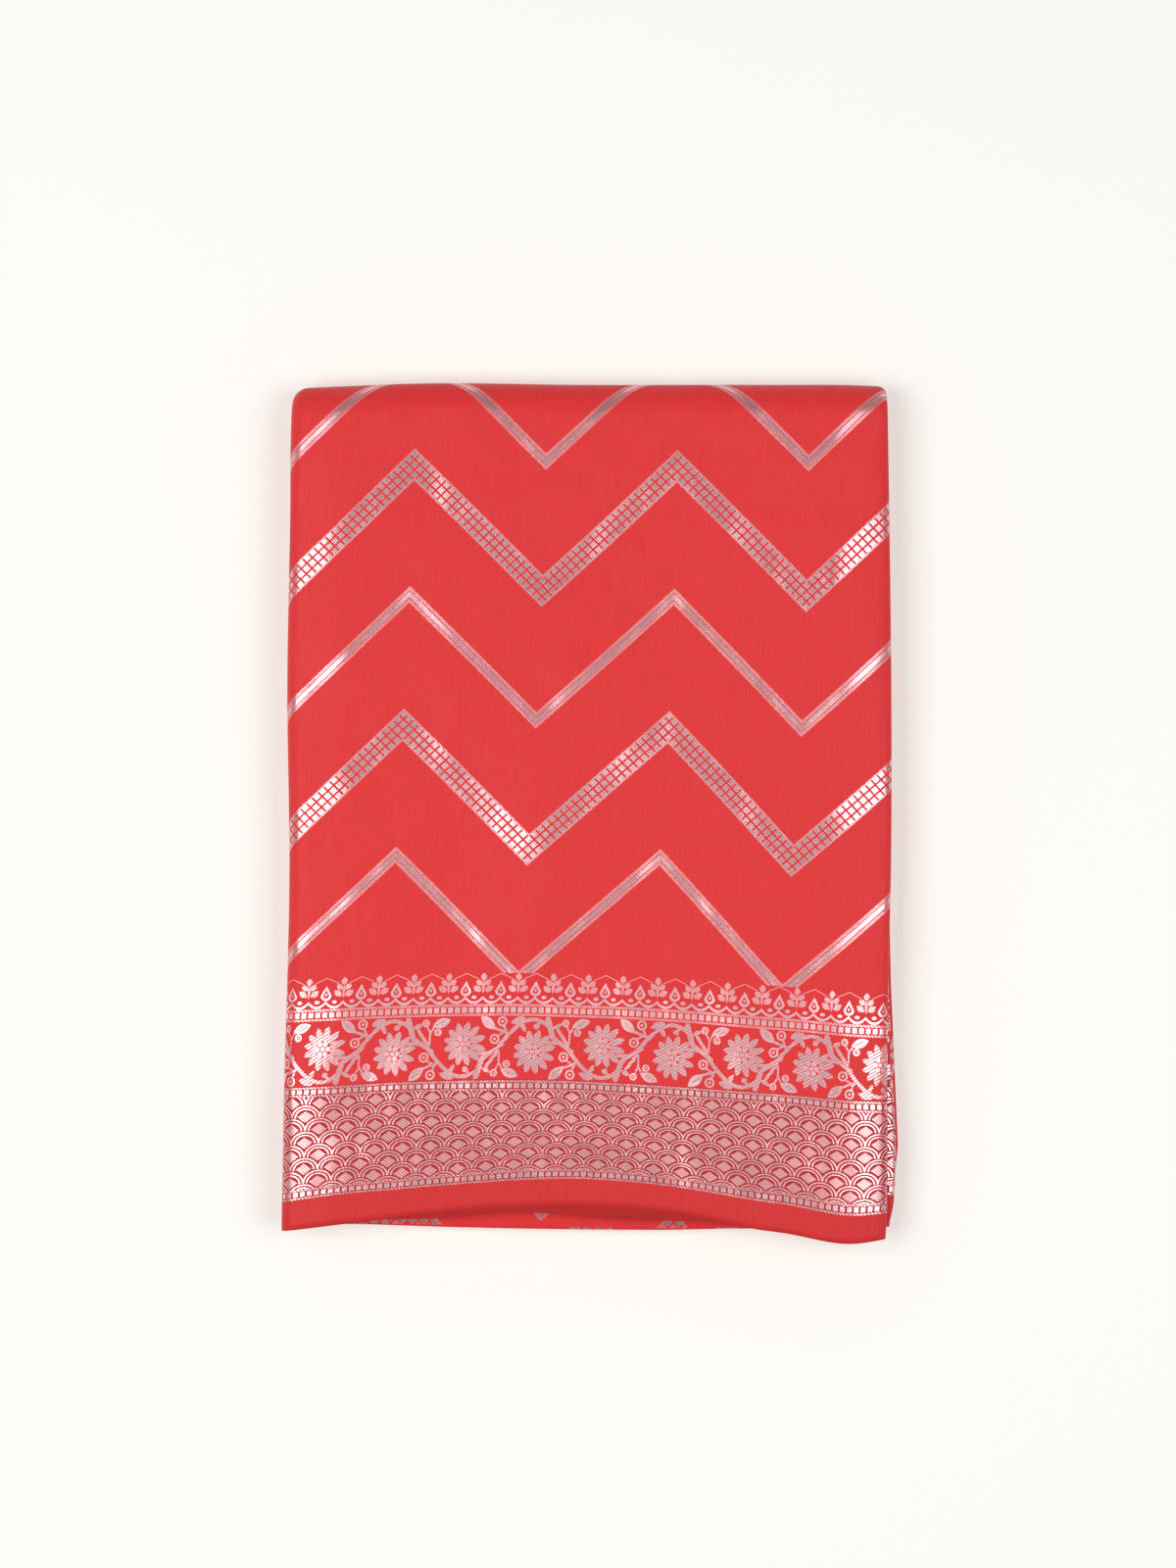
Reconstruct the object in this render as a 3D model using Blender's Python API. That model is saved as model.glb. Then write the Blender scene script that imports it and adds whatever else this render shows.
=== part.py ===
"""Folded silk sari, one woven cloth, built as the stack in which it is kept.

Metres, +Z up. The stack lies on the surface z = 0. Its rolled top edge is at +Y, and its border,
selvedges and first folds are at -Y. The origin is the bottom centre of the box around it.

The cloth is one closed sheet. It is folded in the order in which a sari is put away:
1. in half in its width, so that the two selvedges meet (cloth A and cloth B of a pair);
2. in half in its length, over the right side, and in half again, over the left side;
3. in half over the top, which gives the roll at +Y.
A real one is halved in its length five times. Here each layer stands for eight real ones.
"""

import math

import bpy
import numpy as np

NODE = "sari_cloth"

# The cloth and its gaps
CLOTH_THICKNESS = 0.00108
LAYER_GAP = 0.00018

# Heights of the stack after each fold
PAIR_HEIGHT = 2.0 * CLOTH_THICKNESS + LAYER_GAP
RIGHT_FOLD_HEIGHT = 2.0 * PAIR_HEIGHT + LAYER_GAP
SIDE_FOLDS_HEIGHT = 2.0 * RIGHT_FOLD_HEIGHT + LAYER_GAP
STACK_HEIGHT = 2.0 * SIDE_FOLDS_HEIGHT + LAYER_GAP

# Outer radii of the folds, to the outer face of the outermost cloth
LEFT_RADIUS = RIGHT_FOLD_HEIGHT + 0.5 * LAYER_GAP
RIGHT_RADIUS = PAIR_HEIGHT + 0.5 * LAYER_GAP
ROLL_RADIUS = SIDE_FOLDS_HEIGHT + 0.5 * LAYER_GAP

# Cloth taken up by each fold, at its middle layer
PAIR_REACH = math.pi * 0.5 * (CLOTH_THICKNESS + LAYER_GAP)
RIGHT_REACH = math.pi * 0.5 * (PAIR_HEIGHT + LAYER_GAP)
LEFT_REACH = math.pi * 0.5 * (RIGHT_FOLD_HEIGHT + LAYER_GAP)
ROLL_REACH = math.pi * 0.5 * (SIDE_FOLDS_HEIGHT + LAYER_GAP)

# Flat lengths between the folds
PANEL_WIDTH = 0.1975
PANEL_LENGTH = 0.2740

# Y of the lower layers' folded edge and of the table that the sides follow
LOWER_EDGE_Y = -0.1399

# Cells of the sheet's grid in each flat length and each fold
PANEL_CELLS = 8
LEFT_FOLD_CELLS = 8
RIGHT_FOLD_CELLS = 6
LOWER_RUN_CELLS = 5
UPPER_RUN_CELLS = 6
ROLL_CELLS = 9
PAIR_FOLD_CELLS = 4

# Hem of the cloth's two selvedges on the outermost panel: how far each reaches past the lower edge
HEM = {
    "across": (0.00, 0.06, 0.12, 0.22, 0.31, 0.39, 0.48, 0.61, 0.71, 0.79, 0.89, 0.95, 1.00),
    "cloth_a": (0.0005, -0.0010, -0.0022, -0.0050, -0.0070, -0.0080, -0.0082, -0.0066, -0.0033,
                -0.0002, 0.0027, 0.0045, 0.0033),
    "cloth_b": (-0.0020, -0.0022, -0.0026, -0.0033, -0.0043, -0.0053, -0.0050, -0.0031, -0.0008,
                0.0008, 0.0015, 0.0010, 0.0000),
}
# Share of a panel over which the shaped hem fades into the plain hem of the inner panels
HEM_FADE = 0.45
# The plain hem of the inner panels
INNER_HEM = -0.0056
INNER_HEM_WAVE = 0.0009
LOWER_EDGE_WAVE = 0.0006

# Top edge, the crest of the roll
TOP_EDGE = {
    "across": (0.00, 0.05, 0.12, 0.18, 0.50, 0.80, 0.96, 1.00),
    "y": (0.1405, 0.1428, 0.1440, 0.1445, 0.1442, 0.1442, 0.1438, 0.1425),
}

# Sides of the stack, from the border end to the roll: left, right of the top cloth, right of those below
SIDES = {
    "y": (-0.1440, -0.1356, -0.1210, -0.0894, -0.0564, -0.0234, 0.0426, 0.1020, 0.1274, 0.1384, 0.1440),
    "left": (-0.1039, -0.1039, -0.1036, -0.1030, -0.1020, -0.1013, -0.1020, -0.1010, -0.1005, -0.0993,
             -0.0950),
    "right_top": (0.0990, 0.0995, 0.0997, 0.0997, 0.1000, 0.1008, 0.1010, 0.1003, 0.0995, 0.0990, 0.0972),
    "right_below": (0.0996, 0.1026, 0.1039, 0.1030, 0.1016, 0.1010, 0.1010, 0.1003, 0.0997, 0.0990, 0.0972),
}
# Height under the top within which the right side passes from the top cloth's line to the lower one
STEP_HEIGHT = 0.0050

# Loft of the stack over its plan: 1 at the side folds and the roll, less where the layers lie open
LOFT = {
    "across": (0.00, 0.03, 0.08, 0.16, 0.45, 0.75, 0.86, 0.925, 0.965, 1.00),
    "share": (0.955, 0.980, 1.000, 0.985, 0.955, 0.965, 0.985, 1.000, 0.935, 0.830),
}
LOFT_ALONG = {
    "along": (0.00, 0.06, 0.25, 0.60, 0.90, 1.00),
    "share": (0.970, 0.985, 0.990, 0.995, 1.000, 0.990),
}


def table_value(table, position, column, where):
    """Read one column of a table at each value of `where`, straight between its rows."""
    return np.interp(where, table[position], table[column])


def fold_over(along, height, line, stack, reach):
    """Fold all that lies past `line` over the top of a stack of the given height.

    The cloth within `reach` of the line makes a half turn about an axis half a gap above the stack.
    The rest comes back over the stack, upside down.
    """
    axis_height = stack + 0.5 * LAYER_GAP
    past = along - line
    turn = math.pi * np.clip(past / reach, 0.0, 1.0)
    radius = axis_height - height
    folded_along = line + np.minimum(past, 0.0) - np.maximum(past - reach, 0.0) + radius * np.sin(turn)
    folded_height = axis_height - radius * np.cos(turn)
    return folded_along, folded_height


def length_stations():
    """Grid positions along the cloth's length: two panels, the right fold, and two panels back."""
    step = np.arange(PANEL_CELLS + 1) / PANEL_CELLS
    inner_panel = -LEFT_REACH - PANEL_WIDTH * (1.0 - step)
    left_fold = -LEFT_REACH + LEFT_REACH * np.arange(1, LEFT_FOLD_CELLS) / LEFT_FOLD_CELLS
    outer_panel = PANEL_WIDTH * step
    first_half = np.concatenate([inner_panel, left_fold, outer_panel])
    right_fold = PANEL_WIDTH + RIGHT_REACH * np.arange(1, RIGHT_FOLD_CELLS) / RIGHT_FOLD_CELLS
    second_half = PANEL_WIDTH + RIGHT_REACH + (PANEL_WIDTH - first_half[::-1])
    return np.concatenate([first_half, right_fold, second_half])


def panel_across(stations):
    """Where each length station lies across the folded stack, 0 at the left and 1 at the right."""
    on_half = np.where(stations > PANEL_WIDTH, 2.0 * PANEL_WIDTH + RIGHT_REACH - stations, stations)
    on_half = np.minimum(on_half, PANEL_WIDTH)
    on_panel = np.where(on_half < 0.0, -on_half - LEFT_REACH, on_half)
    return np.clip(on_panel / PANEL_WIDTH, 0.0, 1.0)


def outer_share(stations):
    """1 on the outermost panel, fading to 0 on the panels that its two folds lead to."""
    before = np.maximum(-stations, 0.0)
    after = np.maximum(stations - PANEL_WIDTH - RIGHT_REACH, 0.0)
    return 1.0 - np.clip((before + after) / (HEM_FADE * PANEL_WIDTH), 0.0, 1.0)


def width_path(stations):
    """Distance across the cloth's width at each grid point, from selvedge A to selvedge B.

    0 is the start of the roll. The path runs up to the roll, down the lower run to the first fold,
    back along the lower run, and over the roll again.
    """
    across = panel_across(stations)
    share = outer_share(stations)
    phase = 2.0 * math.pi * stations / PANEL_WIDTH
    inner_hem = INNER_HEM + INNER_HEM_WAVE * np.sin(0.63 * phase)
    hem_a = share * table_value(HEM, "across", "cloth_a", across) + (1.0 - share) * inner_hem
    hem_b = share * table_value(HEM, "across", "cloth_b", across) + (1.0 - share) * inner_hem
    lower = PANEL_LENGTH + LOWER_EDGE_WAVE * np.sin(0.41 * phase)
    upper_a = PANEL_LENGTH + hem_a
    upper_b = PANEL_LENGTH + hem_b

    def run(cells, first=0):
        return (np.arange(first, cells + 1) / cells)[:, None]

    rows = [
        -ROLL_REACH - upper_a * (1.0 - run(UPPER_RUN_CELLS)),
        -ROLL_REACH * (1.0 - run(ROLL_CELLS, 1)) * np.ones_like(lower),
        lower * run(LOWER_RUN_CELLS, 1),
        lower + PAIR_REACH * run(PAIR_FOLD_CELLS, 1),
        lower + PAIR_REACH + lower * run(LOWER_RUN_CELLS, 1),
        2.0 * lower + PAIR_REACH + ROLL_REACH * run(ROLL_CELLS, 1),
        2.0 * lower + PAIR_REACH + ROLL_REACH + upper_b * run(UPPER_RUN_CELLS, 1),
    ]
    return np.concatenate(rows, axis=0), lower


def settle(x, y, z):
    """Give the evenly folded stack the outline and the loft that the real one has."""
    across = (x + LEFT_RADIUS) / (PANEL_WIDTH + LEFT_RADIUS + RIGHT_RADIUS)
    along = (y + PANEL_LENGTH) / (PANEL_LENGTH + ROLL_RADIUS)
    top_edge = table_value(TOP_EDGE, "across", "y", across)
    settled_y = LOWER_EDGE_Y + along * (top_edge - LOWER_EDGE_Y)
    left = table_value(SIDES, "y", "left", settled_y)
    right_top = table_value(SIDES, "y", "right_top", settled_y)
    right_below = table_value(SIDES, "y", "right_below", settled_y)
    below = np.clip((STACK_HEIGHT - z) / STEP_HEIGHT, 0.0, 1.0)
    right = right_top + below * (right_below - right_top)
    settled_x = left + across * (right - left)
    loft = table_value(LOFT, "across", "share", across) * table_value(LOFT_ALONG, "along", "share", along)
    return settled_x, settled_y, z * loft


def folded_face(depth):
    """Grid of points of one face of the cloth; `depth` is 0 for its outer face."""
    stations = length_stations()
    width, lower = width_path(stations)
    height = np.full(width.shape, depth)
    length = np.broadcast_to(stations, width.shape)
    # First fold, in half in the width
    width, height = fold_over(width, height, lower, CLOTH_THICKNESS, PAIR_REACH)
    # Second and third folds, over the right side and then over the left side
    x, height = fold_over(length, height, PANEL_WIDTH, PAIR_HEIGHT, RIGHT_REACH)
    mirrored_x, height = fold_over(-x, height, 0.0, RIGHT_FOLD_HEIGHT, LEFT_REACH)
    x = -mirrored_x
    # Last fold, over the top
    y, z = fold_over(-width, height, 0.0, SIDE_FOLDS_HEIGHT, ROLL_REACH)
    x, y, z = settle(x, y, z)
    return np.stack([x, y, z], axis=-1)


def sheet_faces(rows, columns):
    """Quads of a closed sheet: an outer grid, an inner grid, and the rim that joins their edges."""
    index = np.arange(rows * columns).reshape(rows, columns)
    a, b = index[:-1, :-1].ravel(), index[:-1, 1:].ravel()
    c, d = index[1:, 1:].ravel(), index[1:, :-1].ravel()
    inner = rows * columns
    outer_quads = np.stack([a, b, c, d], axis=1)
    inner_quads = np.stack([d, c, b, a], axis=1) + inner
    rim = np.concatenate([index[0, :-1], index[:-1, -1], index[-1, :0:-1], index[:0:-1, 0]])
    following = np.roll(rim, -1)
    rim_quads = np.stack([following, rim, rim + inner, following + inner], axis=1)
    return np.concatenate([outer_quads, inner_quads, rim_quads])


def centred(points):
    """Move the points so that the bottom centre of the box around them is the origin."""
    low = points.min(axis=0)
    high = points.max(axis=0)
    middle = np.array([(low[0] + high[0]) / 2.0, (low[1] + high[1]) / 2.0, low[2]])
    return points - middle


def silk_material():
    """Red silk with a soft sheen."""
    material = bpy.data.materials.new("silk")
    material.use_nodes = True
    shader = material.node_tree.nodes["Principled BSDF"]
    shader.inputs["Base Color"].default_value = (0.75, 0.045, 0.048, 1.0)
    shader.inputs["Roughness"].default_value = 0.5
    shader.inputs["Sheen Weight"].default_value = 0.3
    return material


def build_cloth():
    """Make the folded cloth as one closed solid."""
    outer = folded_face(0.0)
    inner = folded_face(CLOTH_THICKNESS)
    rows, columns = outer.shape[:2]
    points = centred(np.concatenate([outer.reshape(-1, 3), inner.reshape(-1, 3)]))
    mesh = bpy.data.meshes.new(NODE)
    mesh.from_pydata(points.tolist(), [], sheet_faces(rows, columns).tolist())
    mesh.materials.append(silk_material())
    mesh.validate()
    mesh.update()
    cloth = bpy.data.objects.new(NODE, mesh)
    bpy.context.scene.collection.objects.link(cloth)
    return cloth


def main():
    """Empty the scene and build the sari."""
    for item in list(bpy.data.objects):
        bpy.data.objects.remove(item, do_unlink=True)
    build_cloth()


main()
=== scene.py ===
"""Looks of the folded silk sari: a thin woven cloth on the folds of its solid, and a pale stage.

The cloth is one thin closed sheet, folded as a sari is put away, so it has many more layers than the
solid. Its zari pattern is woven by node materials that read the cloth's own map, in metres of cloth.
"""

import functools
import math

import bpy
import numpy as np
from bpy.props import FloatProperty, FloatVectorProperty, PointerProperty
from bpy.types import Operator, Panel, PropertyGroup
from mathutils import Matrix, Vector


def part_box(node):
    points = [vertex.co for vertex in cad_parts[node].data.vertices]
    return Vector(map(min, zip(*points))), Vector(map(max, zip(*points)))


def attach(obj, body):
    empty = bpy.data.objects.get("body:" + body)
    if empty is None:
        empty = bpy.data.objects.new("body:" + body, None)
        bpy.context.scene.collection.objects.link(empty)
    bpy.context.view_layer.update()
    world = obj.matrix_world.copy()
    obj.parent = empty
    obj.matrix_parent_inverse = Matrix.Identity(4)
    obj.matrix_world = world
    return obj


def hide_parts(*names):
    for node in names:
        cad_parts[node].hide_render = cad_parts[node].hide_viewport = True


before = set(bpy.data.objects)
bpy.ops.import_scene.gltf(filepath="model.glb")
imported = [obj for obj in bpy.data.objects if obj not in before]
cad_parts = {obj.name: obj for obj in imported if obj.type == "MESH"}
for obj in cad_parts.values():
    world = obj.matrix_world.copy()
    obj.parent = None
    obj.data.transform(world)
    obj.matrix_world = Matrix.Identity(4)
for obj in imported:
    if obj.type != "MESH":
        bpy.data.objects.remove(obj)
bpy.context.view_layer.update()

bl_info = {
    "name": "Folded silk sari",
    "version": (1, 0, 0),
    "blender": (4, 5, 0),
    "location": "3D View > Sidebar > Sari",
    "description": "Builds a folded silk sari with a woven zari pattern",
    "category": "Add Mesh",
}

NODE = "sari_cloth"
NODE_LOW, NODE_HIGH = (np.array(corner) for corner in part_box(NODE))
NODE_SIZE = NODE_HIGH - NODE_LOW

# How often the cloth is halved in its length. Each halving doubles the layers.
LENGTH_HALVINGS = 4

# Widths of the woven bands, in metres of cloth from the selvedge
SELVEDGE_END = 0.0096
LOWER_LADDER_END = 0.0135
SCALES_END = 0.0452
MIDDLE_LADDER_END = 0.0495
VINE_END = 0.0700
GARLAND_START = 0.0762
BORDER_END = 0.0845

# Millimetres to the metre: the pattern nodes work in millimetres
MM = 1000.0

# Where the border's lines cross the top panel. Across is 0 at its left side and 1 at its right.
# Each line is a distance from the selvedge, and its column holds the y of that line.
BORDER_LINES = (0.0, SELVEDGE_END, LOWER_LADDER_END, SCALES_END, MIDDLE_LADDER_END, VINE_END)
BORDER_Y = {
    "across": (0.000, 0.084, 0.182, 0.311, 0.408, 0.476, 0.571, 0.668, 0.776, 0.830, 0.947, 1.000),
    "hem": (-0.1404, -0.1382, -0.1358, -0.1329, -0.1318, -0.1317, -0.1325, -0.1347, -0.1393, -0.1408,
            -0.1444, -0.1431),
    "selvedge": (-0.1306, -0.1280, -0.1262, -0.1241, -0.1229, -0.1226, -0.1236, -0.1259, -0.1297,
                 -0.1312, -0.1350, -0.1343),
    "lower_ladder": (-0.1271, -0.1249, -0.1231, -0.1209, -0.1196, -0.1195, -0.1206, -0.1229, -0.1262,
                     -0.1275, -0.1312, -0.1307),
    "scales": (-0.0955, -0.0948, -0.0936, -0.0931, -0.0931, -0.0933, -0.0944, -0.0955, -0.0969,
               -0.0977, -0.1003, -0.1007),
    "middle_ladder": (-0.0922, -0.0912, -0.0901, -0.0894, -0.0893, -0.0896, -0.0905, -0.0918, -0.0934,
                      -0.0942, -0.0963, -0.0967),
    "vine": (-0.0703, -0.0695, -0.0686, -0.0680, -0.0680, -0.0684, -0.0691, -0.0703, -0.0721, -0.0729,
             -0.0750, -0.0756),
}

# How far the cloth's length has slipped sideways on the top panel, by the distance from the selvedge
DRIFT = {
    "woven": (0.000, 0.0835, 0.1271, 0.1742, 0.2155, 0.2610, 0.2840),
    "slip": (0.0099, 0.0076, 0.0050, 0.0017, 0.0000, -0.0013, -0.0020),
}

# Hem of the cloth under the top one, past the lower edge. The hems further in lie behind it.
UNDER_HEM = {
    "across": (0.00, 0.11, 0.22, 0.31, 0.36, 0.45, 0.52, 0.61, 0.70, 0.78, 0.90, 1.00),
    "past": (-0.0016, -0.0020, -0.0026, -0.0040, -0.0053, -0.0054, -0.0042, -0.0036, -0.0030, -0.0010,
             0.0004, 0.0000),
}
HEM_FADE = 0.45
INNER_HEM_BEHIND = 0.0014
INNER_HEM_WAVE = 0.0007
INNER_HEM_TURNS = 0.63

# Folded edge of the lower layers
LOWER_EDGE = {
    "across": (0.00, 0.06, 0.10, 0.17, 0.32, 0.51, 0.62, 0.79, 1.00),
    "y": (-0.1379, -0.1380, -0.1378, -0.1384, -0.1393, -0.1401, -0.1403, -0.1398, -0.1397),
}
LOWER_EDGE_WAVE = 0.0005
LOWER_EDGE_TURNS = 0.41

# Distance of the first fold from the selvedge, at the left and at the right
FIRST_FOLD_LEFT = 0.5730
FIRST_FOLD_RIGHT = 0.5572

# Length of cloth tucked in behind the outermost panel, and the length over which it slips in
TUCK = 0.0434
TUCK_REACH = 0.010

# Outline of the stack, as in its solid
TOP_EDGE = {
    "across": (0.00, 0.05, 0.12, 0.18, 0.50, 0.80, 0.96, 1.00),
    "y": (0.1430, 0.1434, 0.1440, 0.1445, 0.1442, 0.1442, 0.1440, 0.1437),
}
SIDES = {
    "y": (-0.1440, -0.1356, -0.1210, -0.0894, -0.0564, -0.0234, 0.0426, 0.1020, 0.1274, 0.1384, 0.1440),
    "left": (-0.1039, -0.1039, -0.1036, -0.1030, -0.1020, -0.1013, -0.1020, -0.1010, -0.1008, -0.1004,
             -0.1000),
    "right_top": (0.0990, 0.0995, 0.0997, 0.0997, 0.1000, 0.1008, 0.1010, 0.1003, 0.0999, 0.0997, 0.0994),
    "right_below": (0.0996, 0.1026, 0.1039, 0.1030, 0.1016, 0.1010, 0.1010, 0.1003, 0.0999, 0.0997, 0.0994),
}
LOFT = {
    "across": (0.00, 0.03, 0.08, 0.16, 0.45, 0.75, 0.86, 0.925, 0.965, 1.00),
    "share": (0.950, 0.975, 1.000, 0.985, 0.955, 0.965, 0.985, 0.990, 0.935, 0.830),
}
LOFT_ALONG = {
    "along": (0.00, 0.06, 0.25, 0.60, 0.90, 1.00),
    "share": (0.970, 0.985, 0.990, 0.995, 1.000, 0.990),
}

# Soft swellings of the whole stack: share of its height, and their lengths and phases
SWELLS = {
    "share": (0.034, 0.026, 0.014),
    "waves_across": (1.6, 0.7, 2.9),
    "waves_along": (0.5, 1.6, -1.4),
    "phase": (1.7, 0.4, 4.0),
}
HEM_DIP = 0.10
HEM_DIP_REACH = 0.22

# How far the outermost upper run lies clear of the layer under it. It starts over these lengths from
# its side folds and from its roll.
TOP_LIFT = 0.00035
TOP_LIFT_SIDE = 0.012
TOP_LIFT_ROLL = 0.040

# Heights of the weave's relief, in millimetres: small puckers, slubs, and the zari with its ripple
PUCKER_HEIGHT = 2.4
SLUB_HEIGHT = 0.014
ZARI_HEIGHT = 0.018
ZARI_RIPPLE = 0.010

# How often slubs, puckers and the zari's ripple turn along u and v, to the millimetre of cloth
SLUB_TURNS = (2.1, 0.09)
PUCKER_TURNS = (0.040, 0.030)
RIPPLE_TURNS = 6.2

# How many finer layers the noise of slubs and of puckers has
SLUB_DETAIL = 3.0
PUCKER_DETAIL = 1.5

# Silk between its darkest and its lightest red: shares of its colour, where the slubs lie between
# them, and how far down a shaded place goes
DARK_SILK = 0.50
LIGHT_SILK = 1.12
SLUB_TONE = (0.55, 1.00)
SHADE_TONE = 0.75

# How much of its own colour a zari thread shows, and how much of it is metal
ZARI_COVER = 0.92
ZARI_METAL = 0.78
VINE_METAL = 0.60

# Finish of silk, of zari and of the wrong side
SILK_ROUGHNESS = 0.53
SILK_SPECULAR = 0.2
SILK_SHEEN = 0.05
SILK_SHEEN_ROUGHNESS = 0.4
ZARI_ROUGHNESS = 0.26
BACK_ROUGHNESS = 0.55

# Twill lines on zari: their pitch in millimetres, their slope, and the share of them that is dark. A
# ladder's have their slope as a ratio, half their pitch, and half the thickness of their dark lines.
VINE_TWILL = {"pitch": 0.96, "degrees": 30.0, "dark": 0.34}
GARLAND_TWILL = {"pitch": 0.80, "degrees": 33.0, "dark": 0.40}
SCALE_TWILL = {"pitch": 0.75, "degrees": -40.0, "dark": 0.46}
LADDER_TWILL = {"slope": 0.80, "half": 0.50, "dark_half": 0.22}

# How strongly zari shows where its lines or threads are broken, and where they are whole
VINE_SHOWS = (0.15, 1.00)
GARLAND_SHOWS = (0.20, 1.00)
SCALE_SHOWS = (0.22, 0.94)
BROKEN_SHOWS = (0.10, 0.90)
RING_DOT_SHOWS = 0.80
HAIRLINE_SHOWS = 0.60

# Soft edges of leaves and petals, and of fish scales
LEAF_SOFT = 0.12
SCALE_SOFT = 0.03

# Pieces of the border to one flower
SCALES_TO_FLOWER = 2.5
BLOCKS_TO_FLOWER = 10.0
BUDS_TO_FLOWER = 2.0

# Red left between the border's bands and their ladders, in millimetres
BAND_INSET = 0.1

# Phases of the pattern on the top panel, in millimetres
ZIGZAG_PEAK_U = 36.6
LATTICE_V = 147.3
FLOWER_U = 16.6

# Broken threads: two slanting waves, each with its slope in u and in v and its half length
BROKEN_WAVES = {
    "along_u": (1.00, 0.71),
    "along_v": (0.62, -1.13),
    "half": (0.41, 0.33),
}
BROKEN_LIMIT = 0.30

# Zigzags. A lattice is measured in cells from its middle, and a line in millimetres from its own.
CELLS_IN_RISE = 12.0
SQUARE_HALF = 0.37
LATTICE_HALF = 1.32
LATTICE_RIM = (1.28, 1.52)
LINE_HALF = 0.72
FRINGE = (1.02, 1.98)

# Ladder: two lines of twill with a row of square blocks between, in millimetres above its lower edge
LADDER = {
    "low": (0.02, 1.10, 3.18),
    "high": (0.70, 2.86, 3.98),
}
LADDER_BLOCK_HALF = 0.335

# Fish scales: height of a row and of the top row's arches, in millimetres. The rise is a share of a
# scale's half width, and the rest are shares of the arch's radius.
SCALE_ROW = 4.51
SCALE_TOP = 2.55
SCALE_RISE = 0.845
SCALE_INNER_ARCH = (0.69, 0.79)
SCALE_OUTER_ARCH = (0.93, 1.035)
SCALE_RED_LINE_END = 1.15
LOZENGE = {"half_width": 0.58, "half_height": 0.49, "middle": 0.07}

# Shade between the threads, on the plain selvedge and on the scales
SCALE_SHADE = (0.25, 0.75)

# Vine, in millimetres: how far its stem swings from the band's middle, half its thickness, the
# stretch of each cell where strokes take its place, and how far up the flowers sit
VINE_SWING = 9.1
VINE_STEM_HALF = 0.60
VINE_STEM_GAP = {"middle": -3.6, "half": 3.0}
FLOWER_UP = 1.30

# Rim of an outlined leaf, from its heart at 0 to its outline at 1
LEAF_RIM = (0.55, 1.0)

# Ring of the vine, in millimetres: how deep it cuts into what lies under it, and the thickness of its
# line. Its dot is a share of its radius.
RING_CUT = 0.40
RING_LINE = 0.52
RING_DOT = 0.28

# Small things of the vine, in millimetres from where its stem crosses the band's middle line
VINE_RINGS = {
    "x": (1.30, -1.10, 3.27, -0.90),
    "y": (8.45, 2.80, -5.20, -8.15),
    "radius": (1.58, 1.58, 1.18, 1.18),
}
VINE_LEAVES = {
    "x": (-3.50, 4.40, 6.70, -3.60),
    "y": (8.05, -8.10, 8.80, -7.10),
    "half_length": (3.20, 3.10, 2.60, 1.70),
    "half_width": (1.50, 1.45, 1.10, 0.70),
    "degrees": (-40.0, -20.0, 20.0, -28.0),
    "outlined": (True, True, False, False),
}
VINE_STROKES = {
    "start_x": (-7.10, -3.40, -6.90, -5.75, -5.10, -2.90, 0.63, 0.63, 0.63, -2.30, 1.75, -0.30),
    "start_y": (-1.75, -5.80, -9.20, -5.60, -3.50, -1.80, -1.60, -4.60, -5.20, 6.60, 7.30, 3.80),
    "end_x": (-2.00, 0.20, -5.75, -5.10, -2.90, 1.60, 0.63, 2.40, -0.60, 2.90, 3.00, 1.60),
    "end_y": (-1.60, -1.00, -5.60, -3.50, -1.80, 1.00, -4.90, -7.80, -7.30, 4.90, 4.60, 4.80),
    "half_width": (0.55, 0.52, 0.88, 0.85, 0.72, 0.60, 0.28, 0.26, 0.26, 0.42, 0.34, 0.30),
}

# Flower, in millimetres: its petals, how much longer they are on the right and how blunt they are, its
# heart of dots, and the small things under it
PETALS = {"count": 12, "first_degrees": 17.0, "middle": 4.60, "half_length": 2.55, "half_width": 1.08}
PETAL_LEAN = 0.10
PETAL_BLUNTNESS = 2.8
DOTS = {"count": 6, "ring": 1.76, "radius_squared": 0.60, "middle": 0.74}
SPROUT = {"centre": (-3.30, -7.80), "half_length": 1.60, "half_width": 0.70, "degrees": 62.0}
BUD = {"centre": (1.15, -8.20), "radius": 0.90}
STALK = {"start": (1.30, -8.40), "end": (2.60, -9.60), "half_width": 0.42}

# Garland, in millimetres: its hung arcs, a dot in each, a bud with its kernel between them, a hairline
# that slopes away from each bud, and clusters of leaves
GARLAND_SAG = 1.72
GARLAND_ARC_HALF = 0.42
GARLAND_DOT = {"half_width": 0.80, "half_height": 0.56, "up": 0.10}
GARLAND_BUD = {"up": 2.30, "inner": 1.02, "outer": 1.80, "taper": 0.56}
GARLAND_KERNEL = {"slimness": 1.6, "up": 0.15, "half_height": 0.62}
HAIRLINE = {"slope": -0.46, "up": 8.15, "half": 0.13, "reach": 4.2}
GARLAND_LEAVES = {
    "aside": (0.00, 1.45, 1.95, 0.00),
    "up": (6.95, 5.05, 2.95, 3.60),
    "half_length": (1.35, 1.30, 1.60, 2.30),
    "half_width": (0.98, 0.90, 1.00, 0.40),
    "degrees": (90.0, 40.0, 35.0, 90.0),
    "soft": (0.15, 0.15, 0.15, 0.20),
}

# Blocks of the map that the looks are baked through: left, right, low and high. The slack makes sure
# that the outermost panel's block has its last stations too.
BAKE_BLOCKS = {
    "outermost": (0.000, 0.680, 0.000, 1.000),
    "underside": (0.690, 1.000, 0.000, 0.340),
    "inside": (0.690, 1.000, 0.350, 0.950),
    "wrong_side": (0.690, 1.000, 0.960, 1.000),
}
STATION_SLACK = 1.001

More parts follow.
